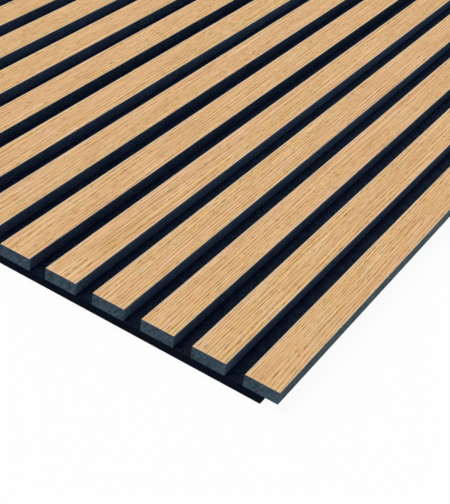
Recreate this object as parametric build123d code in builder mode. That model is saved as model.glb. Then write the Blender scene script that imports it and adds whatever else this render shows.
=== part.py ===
# Slatted acoustic wall panel: oak veneered slats, stapled and glued side by side on a felt board.
# The panel lies on its back. X runs across the slats, Y along them and Z out of the slatted face.
# The origin is the centre of the felt's back face.
import os

from build123d import *

os.makedirs("parts", exist_ok=True)

# Driving dimensions in millimetres
panel_length = 2400
slat_count = 15
slat_pitch = 40
slat_width = 26
slat_thickness = 10
veneer_thickness = 0.3
veneer_arris = 0.15
felt_thickness = 7
slat_overhang = 12
staples_per_slat = 6
staple_end_distance = 60
staple_crown = 10
staple_bite = 5.4
staple_inset = 0.4
staple_point = 1.5
wire_width = 1.2
wire_thickness = 0.6

# Sizes that follow from them
felt_width = slat_count * slat_pitch
felt_edge = felt_width / 2
core_thickness = slat_thickness - veneer_thickness
veneer_bottom = felt_thickness + core_thickness
staple_tip = felt_thickness + staple_bite
staple_row = panel_length - 2 * staple_end_distance
staple_spacing = staple_row / (staples_per_slat - 1)


def slat_centre(number):
    """X of a slat's middle, counted from the slat that overhangs the felt's right edge."""
    return felt_edge + slat_overhang - slat_width / 2 - (number - 1) * slat_pitch


def bearing_centre(number):
    """X of the middle of the strip on which a slat and the felt meet."""
    slat_left = slat_centre(number) - slat_width / 2
    slat_right = slat_centre(number) + slat_width / 2
    return (slat_left + min(slat_right, felt_edge)) / 2


def staple_places(number):
    """Middles of one slat's staples on the felt's back face."""
    x = bearing_centre(number)
    return [(x, step * staple_spacing - staple_row / 2) for step in range(staples_per_slat)]


slat_numbers = range(1, slat_count + 1)
all_staple_places = [place for number in slat_numbers for place in staple_places(number)]

# One staple: a flat wire bent to a U, its crown along the slat and its legs cut to chisel points
with BuildPart() as staple:
    with BuildSketch(Plane.YZ):
        with BuildLine():
            outer = staple_crown / 2
            inner = outer - wire_thickness
            crown_top = staple_inset + wire_thickness
            Polyline(
                (-outer, staple_inset),
                (outer, staple_inset),
                (outer, staple_tip - staple_point),
                (inner, staple_tip),
                (inner, crown_top),
                (-inner, crown_top),
                (-inner, staple_tip),
                (-outer, staple_tip - staple_point),
                close=True,
            )
        make_face()
    extrude(amount=wire_width / 2, both=True)

# The staples of all slats, driven in from the back
with BuildPart() as back_staples:
    with Locations(*all_staple_places):
        add(staple.part)
back_staples.part.label = "back_staples"
export_step(back_staples.part, "parts/back_staples.step")

# Felt board: cut square, with each staple's crown sunk a little below the back face
with BuildPart() as felt_backing:
    with BuildSketch():
        Rectangle(felt_width, panel_length)
    extrude(amount=felt_thickness)
    with Locations(*all_staple_places):
        add(staple.part, mode=Mode.SUBTRACT)
    with BuildSketch():
        with Locations(*all_staple_places):
            Rectangle(wire_width, staple_crown)
    extrude(amount=staple_inset, mode=Mode.SUBTRACT)
felt_backing.part.label = "felt_backing"
export_step(felt_backing.part, "parts/felt_backing.step")

# Slats: a dyed fibreboard core that bites on the staple legs, and a veneer with eased long edges
for slat_number in slat_numbers:
    with BuildPart() as slat_core:
        with BuildSketch(Plane.XZ):
            with Locations((slat_centre(slat_number), felt_thickness + core_thickness / 2)):
                Rectangle(slat_width, core_thickness)
        extrude(amount=panel_length / 2, both=True)
        with Locations(*staple_places(slat_number)):
            add(staple.part, mode=Mode.SUBTRACT)
    slat_core.part.label = f"slat_{slat_number:02d}_core"
    export_step(slat_core.part, f"parts/slat_{slat_number:02d}_core.step")

    with BuildPart() as slat_veneer:
        with BuildSketch(Plane.XZ):
            with Locations((slat_centre(slat_number), veneer_bottom + veneer_thickness / 2)):
                Rectangle(slat_width, veneer_thickness)
        extrude(amount=panel_length / 2, both=True)
        face_edges = slat_veneer.edges().filter_by(Axis.Y).group_by(Axis.Z)[-1]
        fillet(face_edges, radius=veneer_arris)
    slat_veneer.part.label = f"slat_{slat_number:02d}_veneer"
    export_step(slat_veneer.part, f"parts/slat_{slat_number:02d}_veneer.step")
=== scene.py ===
"""Dresses the slatted acoustic panel: felt board, fibreboard slat cores, oak veneers and staples."""
import math

import bpy
from bpy.props import FloatProperty, FloatVectorProperty, IntProperty, PointerProperty
from mathutils import Matrix, Vector, noise


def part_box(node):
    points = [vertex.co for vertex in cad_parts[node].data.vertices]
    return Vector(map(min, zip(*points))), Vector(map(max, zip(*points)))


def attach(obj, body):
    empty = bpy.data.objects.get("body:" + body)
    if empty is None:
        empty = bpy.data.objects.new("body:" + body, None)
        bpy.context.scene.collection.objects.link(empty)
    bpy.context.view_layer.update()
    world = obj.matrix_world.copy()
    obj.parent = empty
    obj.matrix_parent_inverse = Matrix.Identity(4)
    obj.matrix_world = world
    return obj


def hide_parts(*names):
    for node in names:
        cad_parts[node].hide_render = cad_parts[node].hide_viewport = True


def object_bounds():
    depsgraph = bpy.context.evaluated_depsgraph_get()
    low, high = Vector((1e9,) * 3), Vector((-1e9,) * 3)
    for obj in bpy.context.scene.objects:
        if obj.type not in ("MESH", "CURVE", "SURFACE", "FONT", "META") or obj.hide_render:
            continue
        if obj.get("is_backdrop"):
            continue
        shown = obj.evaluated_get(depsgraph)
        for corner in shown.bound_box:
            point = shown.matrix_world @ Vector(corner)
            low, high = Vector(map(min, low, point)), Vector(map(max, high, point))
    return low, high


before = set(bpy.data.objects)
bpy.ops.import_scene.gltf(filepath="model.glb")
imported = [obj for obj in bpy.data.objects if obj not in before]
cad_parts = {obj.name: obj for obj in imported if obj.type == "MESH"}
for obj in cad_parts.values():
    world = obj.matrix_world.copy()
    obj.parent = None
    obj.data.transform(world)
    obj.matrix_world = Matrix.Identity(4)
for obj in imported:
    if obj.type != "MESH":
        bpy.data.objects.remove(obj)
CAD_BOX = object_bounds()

bl_info = {
    "name": "Slatted acoustic panel",
    "version": (1, 0, 0),
    "blender": (4, 5, 0),
    "location": "3D View > Sidebar > Acoustic panel",
    "description": "Builds the visible pieces of a slatted acoustic wall panel around its solids",
    "category": "Object",
}

# Names and places from the frame, in metres
BODY = "root"
SLATS = sorted(name.removesuffix("_core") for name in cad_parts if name.endswith("_core"))
FELT_LOW, FELT_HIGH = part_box("felt_backing")
STAPLES_LOW, STAPLES_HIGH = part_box("back_staples")
SLAT_BOXES = {slat: (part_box(slat + "_core"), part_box(slat + "_veneer")) for slat in SLATS}
EDGE_CORE, EDGE_VENEER = SLAT_BOXES[SLATS[0]]
SLAT_WIDTH = EDGE_VENEER[1].x - EDGE_VENEER[0].x
SLAT_PITCH = EDGE_VENEER[0].x - SLAT_BOXES[SLATS[1]][1][0].x
PANEL_FRONT, PANEL_BACK = FELT_LOW.y, FELT_HIGH.y
PANEL_LENGTH = PANEL_BACK - PANEL_FRONT
CAMERA_CORNER = Vector((EDGE_VENEER[1].x, EDGE_VENEER[0].y, EDGE_VENEER[1].z))

MM = 0.001
# Slack for comparing numbers that should be equal
SLACK = 1e-6
# Depth that a shader gives to a cut face, and to the upper face of a veneer
CUT_SKIN = 0.1 * MM
FACE_SKIN = 0.01 * MM
# Steps of the round edge of a veneer and of a bend in a staple
ARRIS_STEPS = 4
BEND_STEPS = 6
# Grid lines of the felt that lie closer than this are one line
CLOSEST_LINES = 0.05 * MM
# The felt's nap: how fast finer waves fade, how much finer each layer of waves is, how many layers
# there are, and the least share of the nap that the surface dips by
NAP_FADE, NAP_STEP, NAP_LAYERS = 0.8, 2.0, 3
LEAST_DIP = 0.3
# The export keeps a UV map of this name, so long pieces can fold their length into one square picture
PICTURE_MAP = "OFBake"
FOLDS = 10
FOLD_GAP = 0.6 * MM


def tone(red, green, blue):
    """A colour as picked on screen, from 0 to 255, as the linear colour that a shader takes."""
    def linear(level):
        level /= 255
        return level / 12.92 if level <= 0.04045 else ((level + 0.055) / 1.055) ** 2.4
    return linear(red), linear(green), linear(blue)


def colour_prop(name, description, screen_colour):
    """A colour setting whose default is given as it looks on screen."""
    return FloatVectorProperty(name=name, description=description, subtype="COLOR", size=3,
                               default=tone(*screen_colour), min=0, max=1)


def length_prop(name, description, millimetres):
    """A length setting, given in millimetres and kept in metres."""
    return FloatProperty(name=name, description=description, default=millimetres * MM, min=0,
                         precision=5, unit="LENGTH", subtype="DISTANCE")


def factor_prop(name, description, value):
    """A setting from 0 to 1."""
    return FloatProperty(name=name, description=description, default=value, min=0, max=1,
                         subtype="FACTOR")


class OakSettings(bpy.types.PropertyGroup):
    """Looks of the oak veneer."""
    late: colour_prop("Late wood", "Smooth pinkish bands between the porous ones", (222, 174, 120))
    early: colour_prop("Early wood", "Straw-coloured bands that hold the pores", (222, 179, 113))
    dark: colour_prop("Dark streaks", "Darkest streaks of fibre", (150, 98, 36))
    pale: colour_prop("Pale streaks", "Palest streaks of fibre", (250, 222, 186))
    pore: colour_prop("Pores", "Short open pores", (118, 82, 24))
    warm: colour_prop("Warm tint", "Orange tint of some fibres", (244, 170, 112))
    grey: colour_prop("Grey tint", "Greyish tint of other fibres", (204, 184, 138))
    # Colour of the pale edge line: bare sanded wood and a painted highlight
    bare: colour_prop("Sanded edge", "Bare wood along the sanded edges", (204, 194, 177))
    cut: colour_prop("Cut edge", "Cut edges, which caught the dye of the core", (66, 67, 58))
    lean: FloatProperty(name="Lean", description="How far the grain leans across each metre of slat",
                        default=0.016, unit="LENGTH", subtype="DISTANCE")
    sway: length_prop("Sway", "How far the grain wanders from side to side", 5)
    sway_width: length_prop("Sway width", "Width over which the grain wanders alike", 22)
    sway_length: length_prop("Sway length", "Length over which the grain wanders alike", 170)
    ring_width: length_prop("Ring width", "Spacing of the growth rings", 2.5)
    ring_drift: FloatProperty(name="Ring drift", description="By how many rings their places drift",
                              default=4.5, min=0)
    ring_pale: factor_prop("Pale rings", "Strength of the pale lines between the rings", 0.53)
    ring_dark: factor_prop("Dark rings", "Strength of the dark lines of the rings", 0.43)
    tint: factor_prop("Tints", "Strength of the warm and grey tints", 0.5)
    streak: factor_prop("Streaks", "Strength of the single streaks", 0.54)
    streak_width: length_prop("Streak width", "Width of a streak of fibres", 0.4)
    streak_length: length_prop("Streak length", "Length of a streak of fibres", 13)
    fibre_width: length_prop("Fibre width", "Width of a single fibre", 0.13)
    fibre_length: length_prop("Fibre length", "Length of a single fibre", 22)
    band_width: length_prop("Band width", "Width of the bands of early and late wood", 4.2)
    band_length: length_prop("Band length", "Length over which a band keeps its width", 420)
    pore_width: length_prop("Pore width", "Width of a pore", 0.52)
    pore_length: length_prop("Pore length", "Length of a pore", 8.5)
    # The pale edge line is partly sanded wood and partly painted highlight, strongest on the left
    # edges, which face the lamp
    wear_and_highlight_width: length_prop("Sanded width", "Width of the bare line at the edges", 1.8)
    left_wear_and_highlight: factor_prop("Sanded left", "Strength of the bare line on the left edges", 0.58)
    right_wear_and_highlight: factor_prop("Sanded right", "Strength of the bare line on the right edges", 0.3)
    end_wear_and_highlight: factor_prop("Sanded ends", "Strength of the bare line on the ends", 0.25)
    dyed_width: length_prop("Dyed width", "How far the dye reaches onto the face", 0.2)
    relief: length_prop("Relief", "Depth of the pores", 0.04)
    arris: factor_prop("Arris", "Radius of the long edges as a share of the veneer's thickness", 0.5)


class FibreboardSettings(bpy.types.PropertyGroup):
    """Looks of the dyed fibreboard cores."""
    colour: colour_prop("Colour", "Dyed fibreboard", (64, 81, 86))
    dark: colour_prop("Dark flecks", "Darker fibre bundles", (43, 59, 66))
    pale: colour_prop("Pale flecks", "Paler fibre bundles", (80, 100, 103))
    fleck_size: length_prop("Fleck size", "Size of the fibre bundles", 2.2)
    mark_width: length_prop("Saw mark width", "Width of the slanting saw marks on the ends", 1.3)
    mark_slant: FloatProperty(name="Saw mark slant", description="Angle of the saw marks from the face",
                              default=math.radians(52), subtype="ANGLE", unit="ROTATION")
    mark_length: length_prop("Saw mark length", "Length of the saw marks", 9)
    mark: factor_prop("Saw marks", "Strength of the saw marks", 0.65)
    dye: factor_prop("Dye", "How much dye the sides took up on the whole", 0.48)
    dye_slats: FloatProperty(name="Dye slats", description="Number of slats that took up the dye alike",
                             default=0.7, min=0.1)
    dye_length: length_prop("Dye length", "Length over which a side took up the dye alike", 900)
    edge: length_prop("Eased edge", "Bevel on the lower long edges", 0.2)
    relief: length_prop("Relief", "Depth of the fibre texture", 0.1)


class FeltSettings(bpy.types.PropertyGroup):
    """Looks of the felt board."""
    colour: colour_prop("Colour", "Deep of the felt", (9, 18, 30))
    fleck: colour_prop("Flecks", "Fibres that catch the light", (49, 62, 79))
    sheen: colour_prop("Sheen", "Light that loose fibres catch at low angles", (205, 225, 255))
    # Colour of the darker cut faces and of the painted shade towards the felt's ends
    dark_edge_and_shade: colour_prop("Dense felt", "Felt where it is cut or pressed", (0, 2, 4))
    fleck_size: length_prop("Fleck size", "Size of the tufts of fibre", 1.3)
    cut: factor_prop("Cut edge", "How dark the dense cut edges are", 0.73)
    # Painted shade: how much darker the felt is drawn towards both ends, and how far in it reaches
    pressed: factor_prop("Pressed ends", "How dark the felt is where its ends were pressed", 0.27)
    end_shade_width: length_prop("Pressed width", "How far the pressed ends reach in", 240)
    nap: length_prop("Nap", "How far the surface dips between tufts", 0.25)
    nap_size: length_prop("Nap size", "Size of the waves in the surface", 6)
    edge: length_prop("Soft edge", "Radius of the upper cut edges", 0.4)
    row: length_prop("Row spacing", "Longest step of the mesh along the felt", 16)
    column: length_prop("Column spacing", "Longest step of the mesh across the felt", 4)
    tile: length_prop("Picture tile", "Side of the felt's repeating picture", 300)
    relief: length_prop("Relief", "Depth of the tufts of fibre", 0.35)


class StapleSettings(bpy.types.PropertyGroup):
    """Shape and looks of the staples."""
    colour: colour_prop("Colour", "Galvanised wire", (196, 198, 200))
    spangle: length_prop("Spangle", "Size of the crystals in the galvanised skin", 0.5)
    rows: IntProperty(name="Rows", description="Staples on each slat", default=6, min=2)
    wire_width: length_prop("Wire width", "Width of the flat wire", 1.2)
    wire_thickness: length_prop("Wire thickness", "Thickness of the flat wire", 0.6)
    crown: length_prop("Crown", "Outer width of a staple", 10)
    bend: length_prop("Bend", "Outer radius of the bends", 0.9)
    point: length_prop("Point", "Length of the chisel points", 1.5)


class StageSettings(bpy.types.PropertyGroup):
    """Floor, light and camera."""
    floor: colour_prop("Floor", "Pale floor", (238, 238, 238))
    floor_size: FloatProperty(name="Floor size", description="Side of the floor", default=80,
                              unit="LENGTH")
    floor_gap: length_prop("Floor gap", "How far the floor lies below the panel", 0.2)
    floor_white: factor_prop("Floor white", "Share of white in the floor that the camera sees", 0.94)
    sky: FloatVectorProperty(name="Sky", description="Colour of the soft light from overhead",
                             subtype="COLOR", size=3, default=(0.09, 0.1, 0.35), min=0, max=1)
    horizon: FloatVectorProperty(name="Horizon", description="Colour of the soft light from the sides",
                                 subtype="COLOR", size=3, default=(0.6, 0.6, 1.0), min=0, max=1)
    lamp: FloatVectorProperty(name="Lamp", description="Colour of the soft light from above",
                              subtype="COLOR", size=3, default=(1.0, 1.0, 0.675), min=0, max=1)
    lamp_strength: FloatProperty(name="Lamp strength", description="Light from above", default=2.5)
    lamp_spread: FloatProperty(name="Lamp spread", description="Apparent width of the lamp",
                               default=math.radians(54), subtype="ANGLE", unit="ROTATION")
    lamp_tilt: FloatProperty(name="Lamp tilt", description="Lean of the lamp to the bare felt edge",
                             default=math.radians(28), subtype="ANGLE", unit="ROTATION")
    card: FloatVectorProperty(name="Card", description="Colour of the low light on the side",
                              subtype="COLOR", size=3, default=(1.0, 0.87, 0.43), min=0, max=1)
    card_strength: FloatProperty(name="Card strength", default=1.2,
                                 description="Low light on the overhanging slat's side")
    card_rise: FloatProperty(name="Card rise", description="Height of the low light above the floor",
                             default=math.radians(3), subtype="ANGLE", unit="ROTATION")
    lens: FloatProperty(name="Lens", description="Focal length in millimetres", default=82.69,
                        unit="CAMERA")
    camera_from_corner: FloatVectorProperty(
        name="Camera place", description="Camera as seen from the edge slat's front corner",
        size=3, default=(0.196496, -0.485693, 0.493721), subtype="TRANSLATION", unit="LENGTH")
    camera_right: FloatVectorProperty(
        name="Camera right", description="Camera's right in the panel's frame",
        size=3, default=(0.835044, 0.535675, 0.125512), subtype="DIRECTION")
    camera_up: FloatVectorProperty(
        name="Camera up", description="Camera's up in the panel's frame",
        size=3, default=(-0.411291, 0.456257, 0.789094), subtype="DIRECTION")


class PanelSettings(bpy.types.PropertyGroup):
    """All settings of the panel."""
    oak: PointerProperty(type=OakSettings)
    fibreboard: PointerProperty(type=FibreboardSettings)
    felt: PointerProperty(type=FeltSettings)
    staple: PointerProperty(type=StapleSettings)
    stage: PointerProperty(type=StageSettings)


class Shader:
    """Short way to write a material's nodes."""

    def __init__(self, tree):
        self.tree = tree
        self.tree.nodes.clear()

    def node(self, kind, **settings):
        """A new node with its settings."""
        made = self.tree.nodes.new(kind)
        for key, value in settings.items():
            setattr(made, key, value)
        return made

    def put(self, socket, value):
        """Links a socket to another, or sets it."""
        if isinstance(value, bpy.types.NodeSocket):
            self.tree.links.new(value, socket)
        else:
            socket.default_value = value

    def math(self, operation, first, second=0.0):
        """The result of a sum on one or two values."""
        made = self.node("ShaderNodeMath", operation=operation)
        self.put(made.inputs[0], first)
        self.put(made.inputs[1], second)
        return made.outputs[0]

    def remap(self, value, low, high, to_low=0.0, to_high=1.0, smooth=False):
        """A value's range moved to another, and held within it."""
        made = self.node("ShaderNodeMapRange", clamp=True)
        made.interpolation_type = "SMOOTHSTEP" if smooth else "LINEAR"
        for socket, number in zip(made.inputs, (value, low, high, to_low, to_high)):
            self.put(socket, number)
        return made.outputs[0]

    def near(self, value, surface, skin, inside=0.0, outside=1.0):
        """A level that changes from inside to outside just before a value reaches a surface."""
        return self.remap(value, surface - 3 * skin, surface - skin, inside, outside)

    def blend(self, first, second, share):
        """Two values added, the first with its share and the second with the rest."""
        rest = self.math("MULTIPLY", second, 1 - share)
        return self.math("ADD", self.math("MULTIPLY", first, share), rest)

    def mix(self, factor, first, second):
        """Two colours mixed."""
        made = self.node("ShaderNodeMix", data_type="RGBA")
        for key, value in ((0, factor), (6, first), (7, second)):
            if isinstance(value, tuple):
                value = (*value, 1.0)
            self.put(made.inputs[key], value)
        return made.outputs[2]

    def place(self):
        """The three coordinates of a point in the panel's frame."""
        split = self.node("ShaderNodeSeparateXYZ")
        self.put(split.inputs[0], self.node("ShaderNodeTexCoord").outputs["Object"])
        return split.outputs

    def noise(self, x, y, z, detail=2.0, rough=0.5):
        """Soft noise over a vector of three coordinates that are already scaled."""
        joined = self.node("ShaderNodeCombineXYZ")
        for socket, value in zip(joined.inputs, (x, y, z)):
            self.put(socket, value)
        made = self.node("ShaderNodeTexNoise", noise_dimensions="3D")
        self.put(made.inputs["Vector"], joined.outputs[0])
        self.put(made.inputs["Scale"], 1.0)
        self.put(made.inputs["Detail"], detail)
        self.put(made.inputs["Roughness"], rough)
        return made.outputs["Fac"]

    def streaks(self, x, y, width, length, seed, detail=2.0):
        """Noise drawn out along the slats. The seed is the slice of the noise that is drawn."""
        return self.noise(self.math("DIVIDE", x, width), self.math("DIVIDE", y, length), seed, detail)

    def tufts(self, place, size, detail=2.0, rough=0.5):
        """Noise of one size every way."""
        return self.noise(*(self.math("DIVIDE", axis, size) for axis in place), detail, rough)

    def bump(self, height, distance):
        """A normal from a height, where 1 stands for the distance."""
        made = self.node("ShaderNodeBump")
        self.put(made.inputs["Strength"], 1.0)
        self.put(made.inputs["Distance"], distance)
        self.put(made.inputs["Height"], height)
        return made.outputs[0]

    def finish(self, **sockets):
        """The surface: a principled shader with the named sockets."""
        surface = self.node("ShaderNodeBsdfPrincipled")
        for key, value in sockets.items():
            if isinstance(value, tuple):
                value = (*value, 1.0)
            self.put(surface.inputs[key.replace("_", " ")], value)
        output = self.node("ShaderNodeOutputMaterial")
        self.put(output.inputs["Surface"], surface.outputs[0])


def new_material(name):
    """A material and its shader."""
    material = bpy.data.materials.new(name)
    material.use_nodes = True
    return material, Shader(material.node_tree)


def oak_material(oak):
    """Straight-grained oak veneer with crisp streaks, fine pores, pale edges of sanded wood and painted
    highlight, and dyed rims.
    """
    material, s = new_material("oak_veneer")
    x, y, z = s.place()
    # The grain leans a little across the slats and wanders from side to side
    sway = s.streaks(x, y, oak.sway_width, oak.sway_length, seed=1.7, detail=1.0)
    grain = s.math("ADD", x, s.math("MULTIPLY", s.math("SUBTRACT", sway, 0.5), oak.sway))
    grain = s.math("ADD", grain, s.math("MULTIPLY", y, oak.lean))
    # Bands of early and late wood
    bands = s.streaks(grain, y, oak.band_width, oak.band_length, seed=5.3, detail=1.0)
    porous = s.remap(bands, 0.38, 0.58, smooth=True)
    colour = s.mix(porous, tuple(oak.late), tuple(oak.early))
    # Warm and grey tints run along with the fibres
    tint = s.streaks(grain, y, 3 * oak.streak_width, oak.streak_length, seed=12.4, detail=1.0)
    colour = s.mix(s.remap(tint, 0.5, 0.8, 0.0, oak.tint), colour, tuple(oak.warm))
    colour = s.mix(s.remap(tint, 0.5, 0.2, 0.0, oak.tint), colour, tuple(oak.grey))
    # Growth rings: fine parallel lines, dark at the early wood and pale between, that come and go
    drift = s.streaks(grain, y, 5 * oak.ring_width, oak.band_length, seed=30.8, detail=1.0)
    turns = s.math("DIVIDE", grain, oak.ring_width)
    turns = s.math("ADD", turns, s.math("MULTIPLY", drift, oak.ring_drift))
    ring = s.math("COSINE", s.math("MULTIPLY", turns, 2 * math.pi))
    broken = s.streaks(grain, y, 2 * oak.streak_width, oak.streak_length, seed=16.3, detail=1.5)
    fibres = s.streaks(grain, y, oak.fibre_width, oak.fibre_length, seed=47.2, detail=1.0)
    broken = s.math("ADD", broken, s.remap(fibres, 0.2, 0.8, -0.14, 0.14))
    dark_lines = s.math("MULTIPLY", s.remap(ring, 0.1, 1.0), s.remap(broken, 0.36, 0.62))
    pale_lines = s.math("MULTIPLY", s.remap(ring, -0.1, -1.0), s.remap(broken, 0.62, 0.36))
    colour = s.mix(s.math("MULTIPLY", pale_lines, oak.ring_pale), colour, tuple(oak.pale))
    colour = s.mix(s.math("MULTIPLY", dark_lines, oak.ring_dark), colour, tuple(oak.dark))
    # Single streaks that lie across the order of the rings
    shade = s.streaks(grain, y, oak.streak_width, 6 * oak.streak_length, seed=3.1, detail=1.5)
    colour = s.mix(s.remap(shade, 0.48, 0.75, 0.0, oak.streak), colour, tuple(oak.dark))
    colour = s.mix(s.remap(shade, 0.48, 0.25, 0.0, oak.streak), colour, tuple(oak.pale))
    # Pores stand in rows along the dark rings, lean more than the rest and crowd in the early wood.
    # The fibres split them.
    leaning = s.math("ADD", grain, s.math("MULTIPLY", y, 2 * oak.lean))
    pores = s.streaks(leaning, y, oak.pore_width, oak.pore_length, seed=21.9, detail=1.0)
    pores = s.math("ADD", pores, s.remap(porous, 0.0, 1.0, -0.05, 0.0))
    pores = s.math("ADD", pores, s.remap(ring, -0.2, 0.9, -0.12, 0.03))
    pores = s.remap(pores, 0.54, 0.63, smooth=True)
    pores = s.math("MULTIPLY", pores, s.remap(fibres, 0.4, 0.6, 0.36, 1.0, smooth=True))
    colour = s.mix(pores, colour, tuple(oak.pore))
    # Pale edges, partly bare sanded wood and partly a painted highlight that is strongest on the left
    # edges, and a rim that caught the dye of the core
    half_width, half_length = SLAT_WIDTH / 2, PANEL_LENGTH / 2
    from_right = s.math("SUBTRACT", EDGE_VENEER[1].x + SLACK, x)
    from_right = s.math("FLOORED_MODULO", from_right, SLAT_PITCH)
    from_middle = s.math("ABSOLUTE", s.math("SUBTRACT", from_right, half_width))
    along = s.math("ABSOLUTE", y)
    inner, outer = oak.wear_and_highlight_width, oak.wear_and_highlight_width / 2
    side_wear_and_highlight = s.remap(from_middle, half_width - inner, half_width - outer)
    strength = s.remap(from_right, 0.0, SLAT_WIDTH, oak.right_wear_and_highlight, oak.left_wear_and_highlight)
    side_wear_and_highlight = s.math("MULTIPLY", side_wear_and_highlight, strength)
    end_wear_and_highlight = s.remap(along, half_length - inner, half_length - outer, 0.0, oak.end_wear_and_highlight)
    colour = s.mix(s.math("MAXIMUM", side_wear_and_highlight, end_wear_and_highlight), colour, tuple(oak.bare))
    dyed_rim = s.remap(from_middle, half_width - oak.dyed_width, half_width - 0.8 * oak.dyed_width)
    dyed_cut = s.near(z, EDGE_VENEER[1].z, FACE_SKIN, inside=1.0, outside=0.0)
    colour = s.mix(s.math("MAXIMUM", dyed_rim, dyed_cut), colour, tuple(oak.cut))
    height = s.math("SUBTRACT", s.math("MULTIPLY", ring, -0.2), pores)
    s.finish(Base_Color=colour, Roughness=s.remap(shade, 0.3, 0.7, 0.56, 0.68),
             Specular_IOR_Level=0.1, Normal=s.bump(height, oak.relief))
    return material


def fibreboard_material(board):
    """Dyed fibreboard: pressed fibre flecks in a slate tone, with saw marks on the ends."""
    material, s = new_material("dyed_fibreboard")
    place = s.place()
    x, y, z = place
    flecks = s.tufts(place, board.fleck_size, detail=3.0, rough=0.65)
    clouds = s.tufts(place, 7 * board.fleck_size, detail=1.0)
    mixed = s.blend(flecks, clouds, 0.7)
    # Saw marks slant across the ends
    over, up = math.cos(board.mark_slant), math.sin(board.mark_slant)
    across = s.math("SUBTRACT", s.math("MULTIPLY", x, up), s.math("MULTIPLY", z, over))
    along = s.math("ADD", s.math("MULTIPLY", x, over), s.math("MULTIPLY", z, up))
    marks = s.streaks(across, along, board.mark_width, board.mark_length, seed=8.6)
    at_end = s.near(s.math("ABSOLUTE", y), PANEL_LENGTH / 2, CUT_SKIN)
    marks = s.math("MULTIPLY", s.math("SUBTRACT", marks, 0.5), s.math("MULTIPLY", at_end, board.mark))
    mixed = s.math("ADD", mixed, marks)
    # The sides took up the dye unevenly, each slat in its own way
    from_gap = s.math("SUBTRACT", EDGE_CORE[1].x + (SLAT_PITCH - SLAT_WIDTH) / 2, x)
    slat = s.math("FLOOR", s.math("DIVIDE", from_gap, SLAT_PITCH))
    uptake = s.streaks(slat, y, board.dye_slats, board.dye_length, seed=5.7, detail=0.0)
    uptake = s.math("SUBTRACT", uptake, board.dye)
    level = s.math("ADD", mixed, s.math("MULTIPLY", uptake, s.math("SUBTRACT", 1.0, at_end)))
    colour = s.mix(s.remap(level, 0.5, 0.3), tuple(board.colour), tuple(board.dark))
    colour = s.mix(s.remap(level, 0.5, 0.7), colour, tuple(board.pale))
    s.finish(Base_Color=colour, Roughness=s.remap(mixed, 0.3, 0.7, 0.96, 0.84),
             Specular_IOR_Level=0.05, Normal=s.bump(mixed, board.relief))
    return material


def felt_material(felt):
    """Needled felt: a dark mat with paler tufts of fibre, drawn darker on its cut faces, with painted
    shade towards its ends.
    """
    material, s = new_material("black_felt")
    place = s.place()
    tufts = s.tufts(place, felt.fleck_size, detail=3.0, rough=0.7)
    mat = s.tufts(place, 6 * felt.fleck_size, detail=1.0)
    level = s.blend(tufts, mat, 0.8)
    colour = s.mix(s.remap(level, 0.4, 0.75), tuple(felt.colour), tuple(felt.fleck))
    # The cut faces are drawn darker, and painted shade darkens the felt towards both ends
    half_width, half_length = (FELT_HIGH.x - FELT_LOW.x) / 2, PANEL_LENGTH / 2
    from_middle = s.math("ABSOLUTE", place[1])
    at_end = s.near(from_middle, half_length, CUT_SKIN)
    beside = s.near(s.math("ABSOLUTE", place[0]), half_width, CUT_SKIN)
    cut = s.math("MULTIPLY", s.math("MAXIMUM", beside, at_end), felt.cut)
    # Painted shade that deepens towards the front and back ends
    pressed = s.remap(from_middle, half_length - felt.end_shade_width, half_length,
                      0.0, felt.pressed, smooth=True)
    colour = s.mix(s.math("MAXIMUM", cut, pressed), colour, tuple(felt.dark_edge_and_shade))
    s.finish(Base_Color=colour, Roughness=s.remap(level, 0.4, 0.7, 1.0, 0.88), Specular_IOR_Level=0.0,
             Sheen_Weight=0.05, Sheen_Roughness=0.5, Sheen_Tint=tuple(felt.sheen),
             Normal=s.bump(tufts, felt.relief))
    return material


def wire_material(staple):
    """Galvanised wire with a faint spangle."""
    material, s = new_material("staple_wire")
    spangle = s.tufts(s.place(), staple.spangle)
    s.finish(Base_Color=tuple(staple.colour), Metallic=1.0,
             Roughness=s.remap(spangle, 0.3, 0.7, 0.28, 0.45))
    return material


def add_piece(name, mesh, material, nodes):
    """Links a finished mesh as a piece that stands for its nodes."""
    mesh.materials.append(material)
    piece = bpy.data.objects.new(name, mesh)
    bpy.context.scene.collection.objects.link(piece)
    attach(piece, BODY)
    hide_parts(*nodes)
    return piece


def new_mesh(name, points, faces, places, sharp_angle=35):
    """A smooth-shaded mesh whose picture map gives each corner of each face its place."""
    mesh = bpy.data.meshes.new(name)
    mesh.from_pydata(points, [], faces)
    picture = mesh.uv_layers.new(name=PICTURE_MAP)
    flat = [number for face in places for place in face for number in place]
    picture.uv.foreach_set("vector", flat)
    mesh.shade_smooth()
    mesh.set_sharp_from_angle(angle=math.radians(sharp_angle))
    if mesh.validate():
        raise RuntimeError(f"{name}: the mesh had faulty faces")
    return mesh


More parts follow.
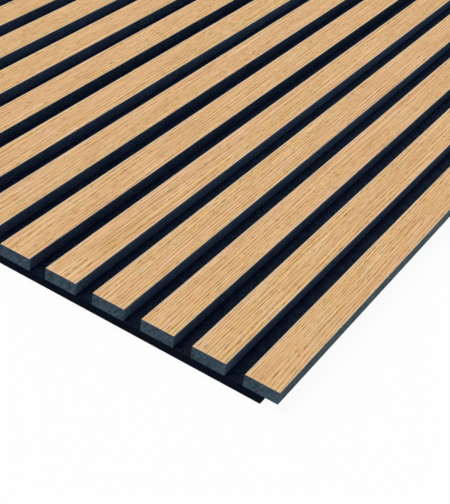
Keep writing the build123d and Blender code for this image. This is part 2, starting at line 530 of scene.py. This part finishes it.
def folded_bar(name, section, widths):
    """A bar along the panel with the given section, its points (x, z) clockwise as seen from the front.

    widths are how wide each side of the section is drawn on the picture map. The bar's length is
    folded into columns that lie side by side, and its two ends lie in the band above them.
    """
    count = len(section)
    step = PANEL_LENGTH / FOLDS
    stations = [PANEL_FRONT + fold * step for fold in range(FOLDS + 1)]
    points = [(x, y, z) for y in stations for x, z in section]
    column = sum(widths) + FOLD_GAP
    left = min(x for x, z in section)
    bottom = min(z for x, z in section)
    wide = max(x for x, z in section) - left
    high = max(z for x, z in section) - bottom
    square = max(FOLDS * column, step + FOLD_GAP + high)
    faces, places = [], []
    for fold in range(FOLDS):
        across = fold * column
        for side in range(count):
            after = (side + 1) % count
            first, second = fold * count + side, fold * count + after
            faces.append((first, second, second + count, first + count))
            u_0, u_1 = across / square, (across + widths[side]) / square
            places.append(((u_0, 0), (u_1, 0), (u_1, step / square), (u_0, step / square)))
            across += widths[side]
    # The back end lies turned over beside the front one
    above = step + FOLD_GAP - bottom
    beyond = left + 2 * wide + FOLD_GAP
    front = list(reversed(range(count)))
    faces.append(front)
    corners = [points[index] for index in front]
    places.append([((x - left) / square, (z + above) / square) for x, y, z in corners])
    back = [FOLDS * count + index for index in range(count)]
    faces.append(back)
    corners = [points[index] for index in back]
    places.append([((beyond - x) / square, (z + above) / square) for x, y, z in corners])
    return new_mesh(name, points, faces, places)


def arc(centre_x, centre_z, radius, start, stop, steps):
    """Points of an arc in the section, angles in degrees."""
    points = []
    for step in range(steps + 1):
        angle = math.radians(start + (stop - start) * step / steps)
        points.append((centre_x + radius * math.cos(angle), centre_z + radius * math.sin(angle)))
    return points


def side_lengths(section):
    """Length of each side of a closed section."""
    following = section[1:] + section[:1]
    return [math.dist(first, second) for first, second in zip(section, following)]


def veneer_mesh(name, low, high, radius):
    """Thin strip with both upper edges eased. Its hidden underside takes little of the picture."""
    section = [(low.x, low.z)]
    section += arc(low.x + radius, high.z - radius, radius, 180, 90, ARRIS_STEPS)
    section += arc(high.x - radius, high.z - radius, radius, 90, 0, ARRIS_STEPS)
    section += [(high.x, low.z)]
    widths = side_lengths(section)
    widths[-1] = FOLD_GAP
    return folded_bar(name, section, widths)


def core_mesh(name, low, high, bevel):
    """Square bar whose lower edges are eased. Its covered faces take little of the picture."""
    section = [
        (low.x, high.z),
        (high.x, high.z),
        (high.x, low.z + bevel),
        (high.x - bevel, low.z),
        (low.x + bevel, low.z),
        (low.x, low.z + bevel),
    ]
    top, bottom = 0, 3
    widths = side_lengths(section)
    widths[top] = widths[bottom] = 4 * FOLD_GAP
    return folded_bar(name, section, widths)


def staple_places(staple):
    """Middles of the staples' crowns, slat by slat."""
    rows = staple.rows
    first = STAPLES_LOW.y + staple.crown / 2
    last = STAPLES_HIGH.y - staple.crown / 2
    middles = []
    for slat in SLATS:
        core_low, core_high = SLAT_BOXES[slat][0]
        x = (core_low.x + min(core_high.x, FELT_HIGH.x)) / 2
        middles += [(x, first + (last - first) * row / (rows - 1)) for row in range(rows)]
    return middles


def grid_lines(cuts, longest):
    """The cuts in order, with the spans between them divided so that none is over the longest."""
    stops = []
    for cut in sorted(cuts):
        if not stops or cut - stops[-1] > CLOSEST_LINES:
            stops.append(cut)
    lines = []
    for first, second in zip(stops, stops[1:]):
        parts = max(1, math.ceil((second - first) / longest - SLACK))
        lines += [first + (second - first) * part / parts for part in range(parts)]
    return lines + [stops[-1]]


class FeltGrid:
    """The felt's mesh: an upper and a lower face over the same grid lines, joined round the edges."""

    def __init__(self, felt, staple):
        self.felt = felt
        self.staple = staple
        self.staples = staple_places(staple)
        self.covered = [(core[0].x, core[1].x) for core, veneer in SLAT_BOXES.values()]
        self.across = grid_lines(self.cuts_across(), felt.column)
        self.along = grid_lines(self.cuts_along(), felt.row)
        self.points = [
            self.point(side, x, y) for side in (0, 1) for y in self.along for x in self.across]
        self.sink_staples()

    def edge_cuts(self, low, high):
        """Lines for the soft edges and for the borders of the picture tiles."""
        edge, tile = self.felt.edge, self.felt.tile
        cuts = {low, low + edge / 3, low + edge, high - edge, high - edge / 3, high}
        return cuts | {low + number * tile for number in range(1, round((high - low) / tile))}

    def cuts_across(self):
        """Lines at the sides of the slats and of the staples' crowns."""
        wire = self.staple.wire_width
        cuts = self.edge_cuts(FELT_LOW.x, FELT_HIGH.x)
        for low, high in self.covered:
            cuts |= {low, min(high, FELT_HIGH.x)}
        for x, y in self.staples:
            cuts |= {x - wire, x - wire / 2, x + wire / 2, x + wire}
        return cuts

    def cuts_along(self):
        """Lines at the ends of the staples' crowns."""
        half, rim = self.staple.crown / 2, self.staple.wire_width / 2
        cuts = self.edge_cuts(PANEL_FRONT, PANEL_BACK)
        for x, y in self.staples:
            cuts |= {y - half - rim, y - half, y + half, y + half + rim}
        return cuts

    def index(self, side, row, column):
        """Number of a point, where side is 0 for the lower face and 1 for the upper one."""
        return (side * len(self.along) + row) * len(self.across) + column

    def point(self, side, x, y):
        """A corner of the mesh: the upper face has its nap and round edges, the lower one is flat."""
        if side == 0:
            return [x, y, FELT_LOW.z]
        inside = min(x - FELT_LOW.x, FELT_HIGH.x - x, y - PANEL_FRONT, PANEL_BACK - y)
        share = 1 - min(1.0, inside / self.felt.edge)
        drop = self.felt.edge * (1 - math.sqrt(max(0.0, 1 - share * share)))
        if not any(low - SLACK <= x <= high + SLACK for low, high in self.covered):
            place = Vector((x, y, 0)) / self.felt.nap_size
            waves = noise.fractal(place, NAP_FADE, NAP_STEP, NAP_LAYERS)
            drop += self.felt.nap * min(1.0, LEAST_DIP + (1 - LEAST_DIP) * abs(waves))
        return [x, y, FELT_HIGH.z - drop]

    def sink_staples(self):
        """Pulls the lower face in under the staples' crowns, to within the thickness of their wire."""
        depth = STAPLES_LOW.z + 0.7 * self.staple.wire_thickness
        half_width = self.staple.wire_width / 2 + SLACK
        half_length = self.staple.crown / 2 + SLACK
        for x, y in self.staples:
            columns = [number for number, line in enumerate(self.across) if abs(line - x) <= half_width]
            rows = [number for number, line in enumerate(self.along) if abs(line - y) <= half_length]
            if not columns or not rows:
                raise RuntimeError("a staple's dimple has no place in the felt's mesh")
            for row in rows:
                for column in columns:
                    self.points[self.index(0, row, column)][2] = depth

    def faces(self):
        """Each face with the two axes that its picture follows."""
        last_row, last_column = len(self.along) - 1, len(self.across) - 1
        for row in range(last_row):
            for column in range(last_column):
                turn = ((row, column), (row, column + 1), (row + 1, column + 1), (row + 1, column))
                yield [self.index(1, *corner) for corner in turn], (0, 1)
                yield [self.index(0, *corner) for corner in reversed(turn)], (0, 1)
        for column in range(last_column):
            for row, (start, stop) in ((0, (column, column + 1)), (last_row, (column + 1, column))):
                low = [self.index(0, row, start), self.index(0, row, stop)]
                yield low + [self.index(1, row, stop), self.index(1, row, start)], (0, 2)
        for row in range(last_row):
            for column, (start, stop) in ((last_column, (row, row + 1)), (0, (row + 1, row))):
                low = [self.index(0, start, column), self.index(0, stop, column)]
                yield low + [self.index(1, stop, column), self.index(1, start, column)], (1, 2)

    def places(self, face, axes):
        """Places of a face's corners on the picture that repeats over the felt."""
        lists = []
        for axis in axes:
            steps = [(self.points[corner][axis] - FELT_LOW[axis]) / self.felt.tile for corner in face]
            tile = math.floor(sum(steps) / len(steps))
            lists.append([min(max(step - tile, 0.0), 1.0) for step in steps])
        return list(zip(*lists))


def felt_mesh(name, felt, staple):
    """The felt board as one closed mesh."""
    grid = FeltGrid(felt, staple)
    faces, places = [], []
    for face, axes in grid.faces():
        faces.append(face)
        places.append(grid.places(face, axes))
    return new_mesh(name, grid.points, faces, places, sharp_angle=60)


def staple_path(staple):
    """Stations of one staple's wire: y and z of its middle, and the angle of its outward direction."""
    radius = staple.bend - staple.wire_thickness / 2
    corner_y = staple.crown / 2 - staple.bend
    corner_z = STAPLES_LOW.z + staple.bend
    tip = STAPLES_HIGH.z
    stations = [(-corner_y - radius, tip, math.pi)]
    for side, start in ((-1, math.pi), (1, 1.5 * math.pi)):
        for step in range(BEND_STEPS + 1):
            angle = start + step / BEND_STEPS * math.pi / 2
            y = side * corner_y + radius * math.cos(angle)
            z = corner_z + radius * math.sin(angle)
            stations.append((y, z, angle))
    stations.append((corner_y + radius, tip, 2 * math.pi))
    return stations


def staples_mesh(name, staple):
    """All staples: flat wire bent to a U with chisel points, its sharp edges broken."""
    half_width, half_thick = staple.wire_width / 2, staple.wire_thickness / 2
    broken = half_thick / 3
    section = [
        (half_width, half_thick - broken), (half_width - broken, half_thick),
        (broken - half_width, half_thick), (-half_width, half_thick - broken),
        (-half_width, broken - half_thick), (broken - half_width, -half_thick),
        (half_width - broken, -half_thick), (half_width, broken - half_thick),
    ]
    stations = staple_path(staple)
    count, last = len(section), len(stations) - 1
    points, faces, places = [], [], []
    for middle_x, middle_y in staple_places(staple):
        first = len(points)
        for number, (y, z, angle) in enumerate(stations):
            at_tip = number in (0, last)
            for across, outward in section:
                cut = staple.point * (outward + half_thick) / staple.wire_thickness if at_tip else 0
                points.append((middle_x + across, middle_y + y + outward * math.cos(angle),
                               z + outward * math.sin(angle) - cut))
        for station in range(last):
            ring, next_ring = first + station * count, first + (station + 1) * count
            u_0, u_1 = station / last, (station + 1) / last
            for side in range(count):
                after = (side + 1) % count
                faces.append((ring + side, ring + after, next_ring + after, next_ring + side))
                v_0, v_1 = side / count, (side + 1) / count
                places.append([(u_0, v_0), (u_0, v_1), (u_1, v_1), (u_1, v_0)])
        for ring, order in ((first, reversed(range(count))), (first + last * count, range(count))):
            faces.append([ring + side for side in order])
            places.append([(0.0, 0.0)] * count)
    return new_mesh(name, points, faces, places)


class PieceOperator:
    """What the operators of the panel share."""
    bl_options = {"REGISTER", "UNDO"}

    @property
    def settings(self):
        """The settings of the panel in this scene."""
        return bpy.context.scene.acoustic_panel


class PANEL_OT_felt_board(PieceOperator, bpy.types.Operator):
    """Build the felt board with its napped face, soft cut edges and dimples under the staples"""
    bl_idname = "acoustic_panel.felt_board"
    bl_label = "Felt board"

    def execute(self, context):
        felt = self.settings.felt
        mesh = felt_mesh("felt_board", felt, self.settings.staple)
        piece = add_piece("felt_board", mesh, felt_material(felt), ["felt_backing"])
        return {"FINISHED"}


class PANEL_OT_slat_cores(PieceOperator, bpy.types.Operator):
    """Build the dyed fibreboard core of each slat"""
    bl_idname = "acoustic_panel.slat_cores"
    bl_label = "Slat cores"

    def execute(self, context):
        board = self.settings.fibreboard
        material = fibreboard_material(board)
        for slat in SLATS:
            low, high = SLAT_BOXES[slat][0]
            mesh = core_mesh(slat + "_fibreboard", low, high, board.edge)
            add_piece(slat + "_fibreboard", mesh, material, [slat + "_core"])
        return {"FINISHED"}


class PANEL_OT_slat_veneers(PieceOperator, bpy.types.Operator):
    """Build the oak veneer on the face of each slat"""
    bl_idname = "acoustic_panel.slat_veneers"
    bl_label = "Slat veneers"

    def execute(self, context):
        oak = self.settings.oak
        material = oak_material(oak)
        for slat in SLATS:
            low, high = SLAT_BOXES[slat][1]
            mesh = veneer_mesh(slat + "_oak", low, high, oak.arris * (high.z - low.z))
            add_piece(slat + "_oak", mesh, material, [slat + "_veneer"])
        return {"FINISHED"}


class PANEL_OT_staples(PieceOperator, bpy.types.Operator):
    """Build the staples that hold the slats to the felt"""
    bl_idname = "acoustic_panel.staples"
    bl_label = "Staples"

    def execute(self, context):
        staple = self.settings.staple
        mesh = staples_mesh("staples", staple)
        add_piece("staples", mesh, wire_material(staple), ["back_staples"])
        return {"FINISHED"}


class PANEL_OT_stage(PieceOperator, bpy.types.Operator):
    """Set the pale floor, the soft light and the camera"""
    bl_idname = "acoustic_panel.stage"
    bl_label = "Stage"

    def execute(self, context):
        stage = self.settings.stage
        scene = context.scene
        self.add_floor(scene, stage)
        self.light_sky(scene, stage)
        self.add_lamps(scene, stage)
        self.add_camera(scene, stage)
        scene.view_settings.view_transform = "Standard"
        return {"FINISHED"}

    def seen_directly(self, s):
        """1 for what the camera sees, also in a mirror or through glass."""
        path = s.node("ShaderNodeLightPath")
        seen = s.math("MAXIMUM", path.outputs["Is Camera Ray"], path.outputs["Is Glossy Ray"])
        return s.math("MAXIMUM", seen, path.outputs["Is Transmission Ray"])

    def add_floor(self, scene, stage):
        """A pale floor that keeps the panel's shadow and is nearly white to the camera."""
        half = stage.floor_size / 2
        mesh = bpy.data.meshes.new("floor")
        level = FELT_LOW.z - stage.floor_gap
        corners = [(x * half, y * half, level) for x, y in ((-1, -1), (1, -1), (1, 1), (-1, 1))]
        mesh.from_pydata(corners, [], [(0, 1, 2, 3)])
        material, s = new_material("pale_floor")
        matte = s.node("ShaderNodeBsdfDiffuse")
        matte.inputs["Color"].default_value = (*stage.floor, 1.0)
        white = s.node("ShaderNodeEmission")
        mixed = s.node("ShaderNodeMixShader")
        share = s.math("MULTIPLY", self.seen_directly(s), stage.floor_white)
        s.put(mixed.inputs[0], share)
        s.put(mixed.inputs[1], matte.outputs[0])
        s.put(mixed.inputs[2], white.outputs[0])
        s.put(s.node("ShaderNodeOutputMaterial").inputs["Surface"], mixed.outputs[0])
        mesh.materials.append(material)
        floor = bpy.data.objects.new("floor", mesh)
        scene.collection.objects.link(floor)
        floor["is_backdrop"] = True

    def light_sky(self, scene, stage):
        """Soft light from all sides, which is white to the camera."""
        world = bpy.data.worlds.new("soft_sky")
        world.use_nodes = True
        s = Shader(world.node_tree)
        sky, white = s.node("ShaderNodeBackground"), s.node("ShaderNodeBackground")
        direction = s.node("ShaderNodeSeparateXYZ")
        s.put(direction.inputs[0], s.node("ShaderNodeTexCoord").outputs["Generated"])
        colour = s.mix(direction.outputs["Z"], tuple(stage.horizon), tuple(stage.sky))
        s.put(sky.inputs["Color"], colour)
        white.inputs["Color"].default_value = (1.0, 1.0, 1.0, 1.0)
        mixed = s.node("ShaderNodeMixShader")
        s.put(mixed.inputs[0], self.seen_directly(s))
        s.put(mixed.inputs[1], sky.outputs[0])
        s.put(mixed.inputs[2], white.outputs[0])
        s.put(s.node("ShaderNodeOutputWorld").inputs["Surface"], mixed.outputs[0])
        scene.world = world

    def add_lamps(self, scene, stage):
        """A wide lamp overhead, and a low one on the side of the overhanging slat."""
        softbox = bpy.data.lights.new("overhead_softbox", "SUN")
        softbox.color = stage.lamp
        softbox.energy = stage.lamp_strength
        softbox.angle = stage.lamp_spread
        card = bpy.data.lights.new("side_card", "SUN")
        card.color = stage.card
        card.energy = stage.card_strength
        card.angle = 2 * stage.card_rise
        for lamp, turn in ((softbox, -stage.lamp_tilt), (card, math.pi / 2 - stage.card_rise)):
            holder = bpy.data.objects.new(lamp.name, lamp)
            holder.rotation_euler = (0, turn, 0)
            scene.collection.objects.link(holder)

    def add_camera(self, scene, stage):
        """The photograph's camera, placed from the front corner of the overhanging slat."""
        camera = bpy.data.objects.new("camera", bpy.data.cameras.new("camera"))
        camera.data.lens = stage.lens
        camera.data.clip_end = stage.floor_size
        right, up = Vector(stage.camera_right), Vector(stage.camera_up)
        turn = Matrix((right, up, right.cross(up))).transposed()
        place = CAMERA_CORNER + Vector(stage.camera_from_corner)
        camera.matrix_world = Matrix.Translation(place) @ turn.to_4x4()
        scene.collection.objects.link(camera)
        scene.camera = camera


class VIEW3D_PT_acoustic_panel(bpy.types.Panel):
    """Lists the panel's pieces"""
    bl_label = "Acoustic panel"
    bl_space_type = "VIEW_3D"
    bl_region_type = "UI"
    bl_category = "Acoustic panel"

    def draw(self, context):
        for piece in PIECES:
            self.layout.operator(piece.bl_idname)


PIECES = (
    PANEL_OT_felt_board,
    PANEL_OT_slat_cores,
    PANEL_OT_slat_veneers,
    PANEL_OT_staples,
    PANEL_OT_stage,
)
CLASSES = (
    OakSettings,
    FibreboardSettings,
    FeltSettings,
    StapleSettings,
    StageSettings,
    PanelSettings,
    *PIECES,
    VIEW3D_PT_acoustic_panel,
)


def register():
    """Adds the operators, the sidebar panel and the settings to Blender."""
    for kind in CLASSES:
        bpy.utils.register_class(kind)
    bpy.types.Scene.acoustic_panel = PointerProperty(type=PanelSettings)


def unregister():
    """Takes them out again."""
    del bpy.types.Scene.acoustic_panel
    for kind in reversed(CLASSES):
        bpy.utils.unregister_class(kind)


def main():
    """Builds all pieces and the stage."""
    register()
    # The export bakes bump pictures for the first pieces, so the veneers come before the cores
    bpy.ops.acoustic_panel.felt_board()
    bpy.ops.acoustic_panel.slat_veneers()
    bpy.ops.acoustic_panel.slat_cores()
    bpy.ops.acoustic_panel.staples()
    bpy.ops.acoustic_panel.stage()
    boxes = {"cad": CAD_BOX, "visual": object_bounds()}
    {name: [list(corner) for corner in box] for name, box in boxes.items()}


if __name__ == "__main__":
    main()
